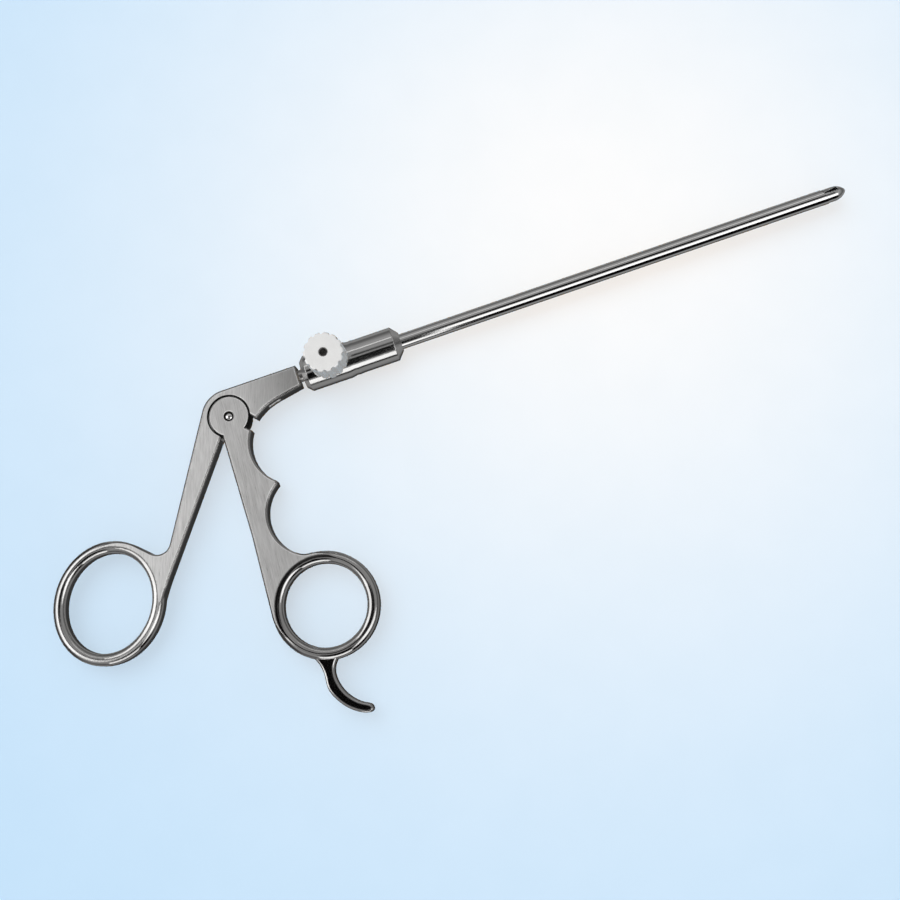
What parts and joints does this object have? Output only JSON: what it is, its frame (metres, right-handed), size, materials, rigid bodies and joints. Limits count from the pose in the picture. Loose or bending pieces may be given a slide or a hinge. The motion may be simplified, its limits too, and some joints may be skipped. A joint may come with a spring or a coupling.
{
  "type": "laryngeal grasping forceps",
  "caption": "Tubular laryngeal grasping forceps: ring handles drive a rod through a slim shaft to an upper jaw, and a knob clamps the swivelling barrel",
  "frame": {"origin": "on the shaft's axis, at the front face of the barrel, where the shaft's working length starts", "axes": "+X along the shaft to the tip, +Z out of the flat handles on the clamp knob's side, +Y away from the finger rings"},
  "size_m": [0.2825, 0.115, 0.0244],
  "materials": {
    "handle_steel": "satin brushed flats with polished edges",
    "polished_steel": "mirror polished",
    "drive_steel": "fine turned",
    "knob_metal": "pale satin",
    "bronze": "bearing bronze",
    "guide_plastic": "slippery white plastic",
    "seal_rubber": "black sealing ring"
  },
  "bodies": {
    "handle": {"rear_handle": "handle_steel", "neck_stem": "drive_steel", "pivot_pin": "polished_steel", "pivot_nut": "polished_steel"},
    "front_lever": {"front_handle": "handle_steel", "pivot_bush": "bronze", "drive_tongue": "drive_steel", "tongue_rivets": "drive_steel"},
    "barrel": {"barrel_housing": "polished_steel", "rear_bush": "bronze", "front_bush": "bronze", "tube_socket": "drive_steel", "front_cap": "polished_steel", "stem_seal": "seal_rubber", "outer_tube": "polished_steel", "clamp_pad": "bronze", "lower_jaw": "polished_steel", "jaw_pin": "drive_steel"},
    "rod": {"drive_rod": "drive_steel", "rod_ball": "drive_steel", "rod_fork": "drive_steel", "drive_pin": "drive_steel", "rod_guides": "guide_plastic"},
    "knob": {"clamp_knob": "knob_metal", "clamp_screw": "drive_steel"},
    "upper_jaw": {"upper_jaw": "polished_steel"}
  },
  "joints": [
    {"name": "handle_pivot", "type": "hinge", "parent": "handle", "child": "front_lever", "pos_m": [-0.0599, -0.0057, 0], "axis": [0, 0, 1], "range_deg": [0, 17]},
    {"name": "barrel_swivel", "type": "hinge", "parent": "handle", "child": "barrel", "pos_m": [-0.0234, 0, 0], "axis": [1, 0, 0], "continuous": true},
    {"name": "rod_slide", "type": "slide", "parent": "barrel", "child": "rod", "axis": [1, 0, 0], "range_m": [-0.00171, 0]},
    {"name": "jaw_hinge", "type": "hinge", "parent": "barrel", "child": "upper_jaw", "pos_m": [0.1419, 0.00115, 0], "axis": [0, 0, 1], "range_deg": [0, 22.1]},
    {"name": "knob_turn", "type": "hinge", "parent": "barrel", "child": "knob", "pos_m": [-0.0234, 0, 0.0083], "axis": [0, 0, 1], "continuous": true}
  ],
  "couplings": [
    {"joint": "rod_slide", "follows": "handle_pivot", "m_per_rad": -0.005742},
    {"joint": "jaw_hinge", "follows": "handle_pivot", "ratio": 1.2941}
  ]
}
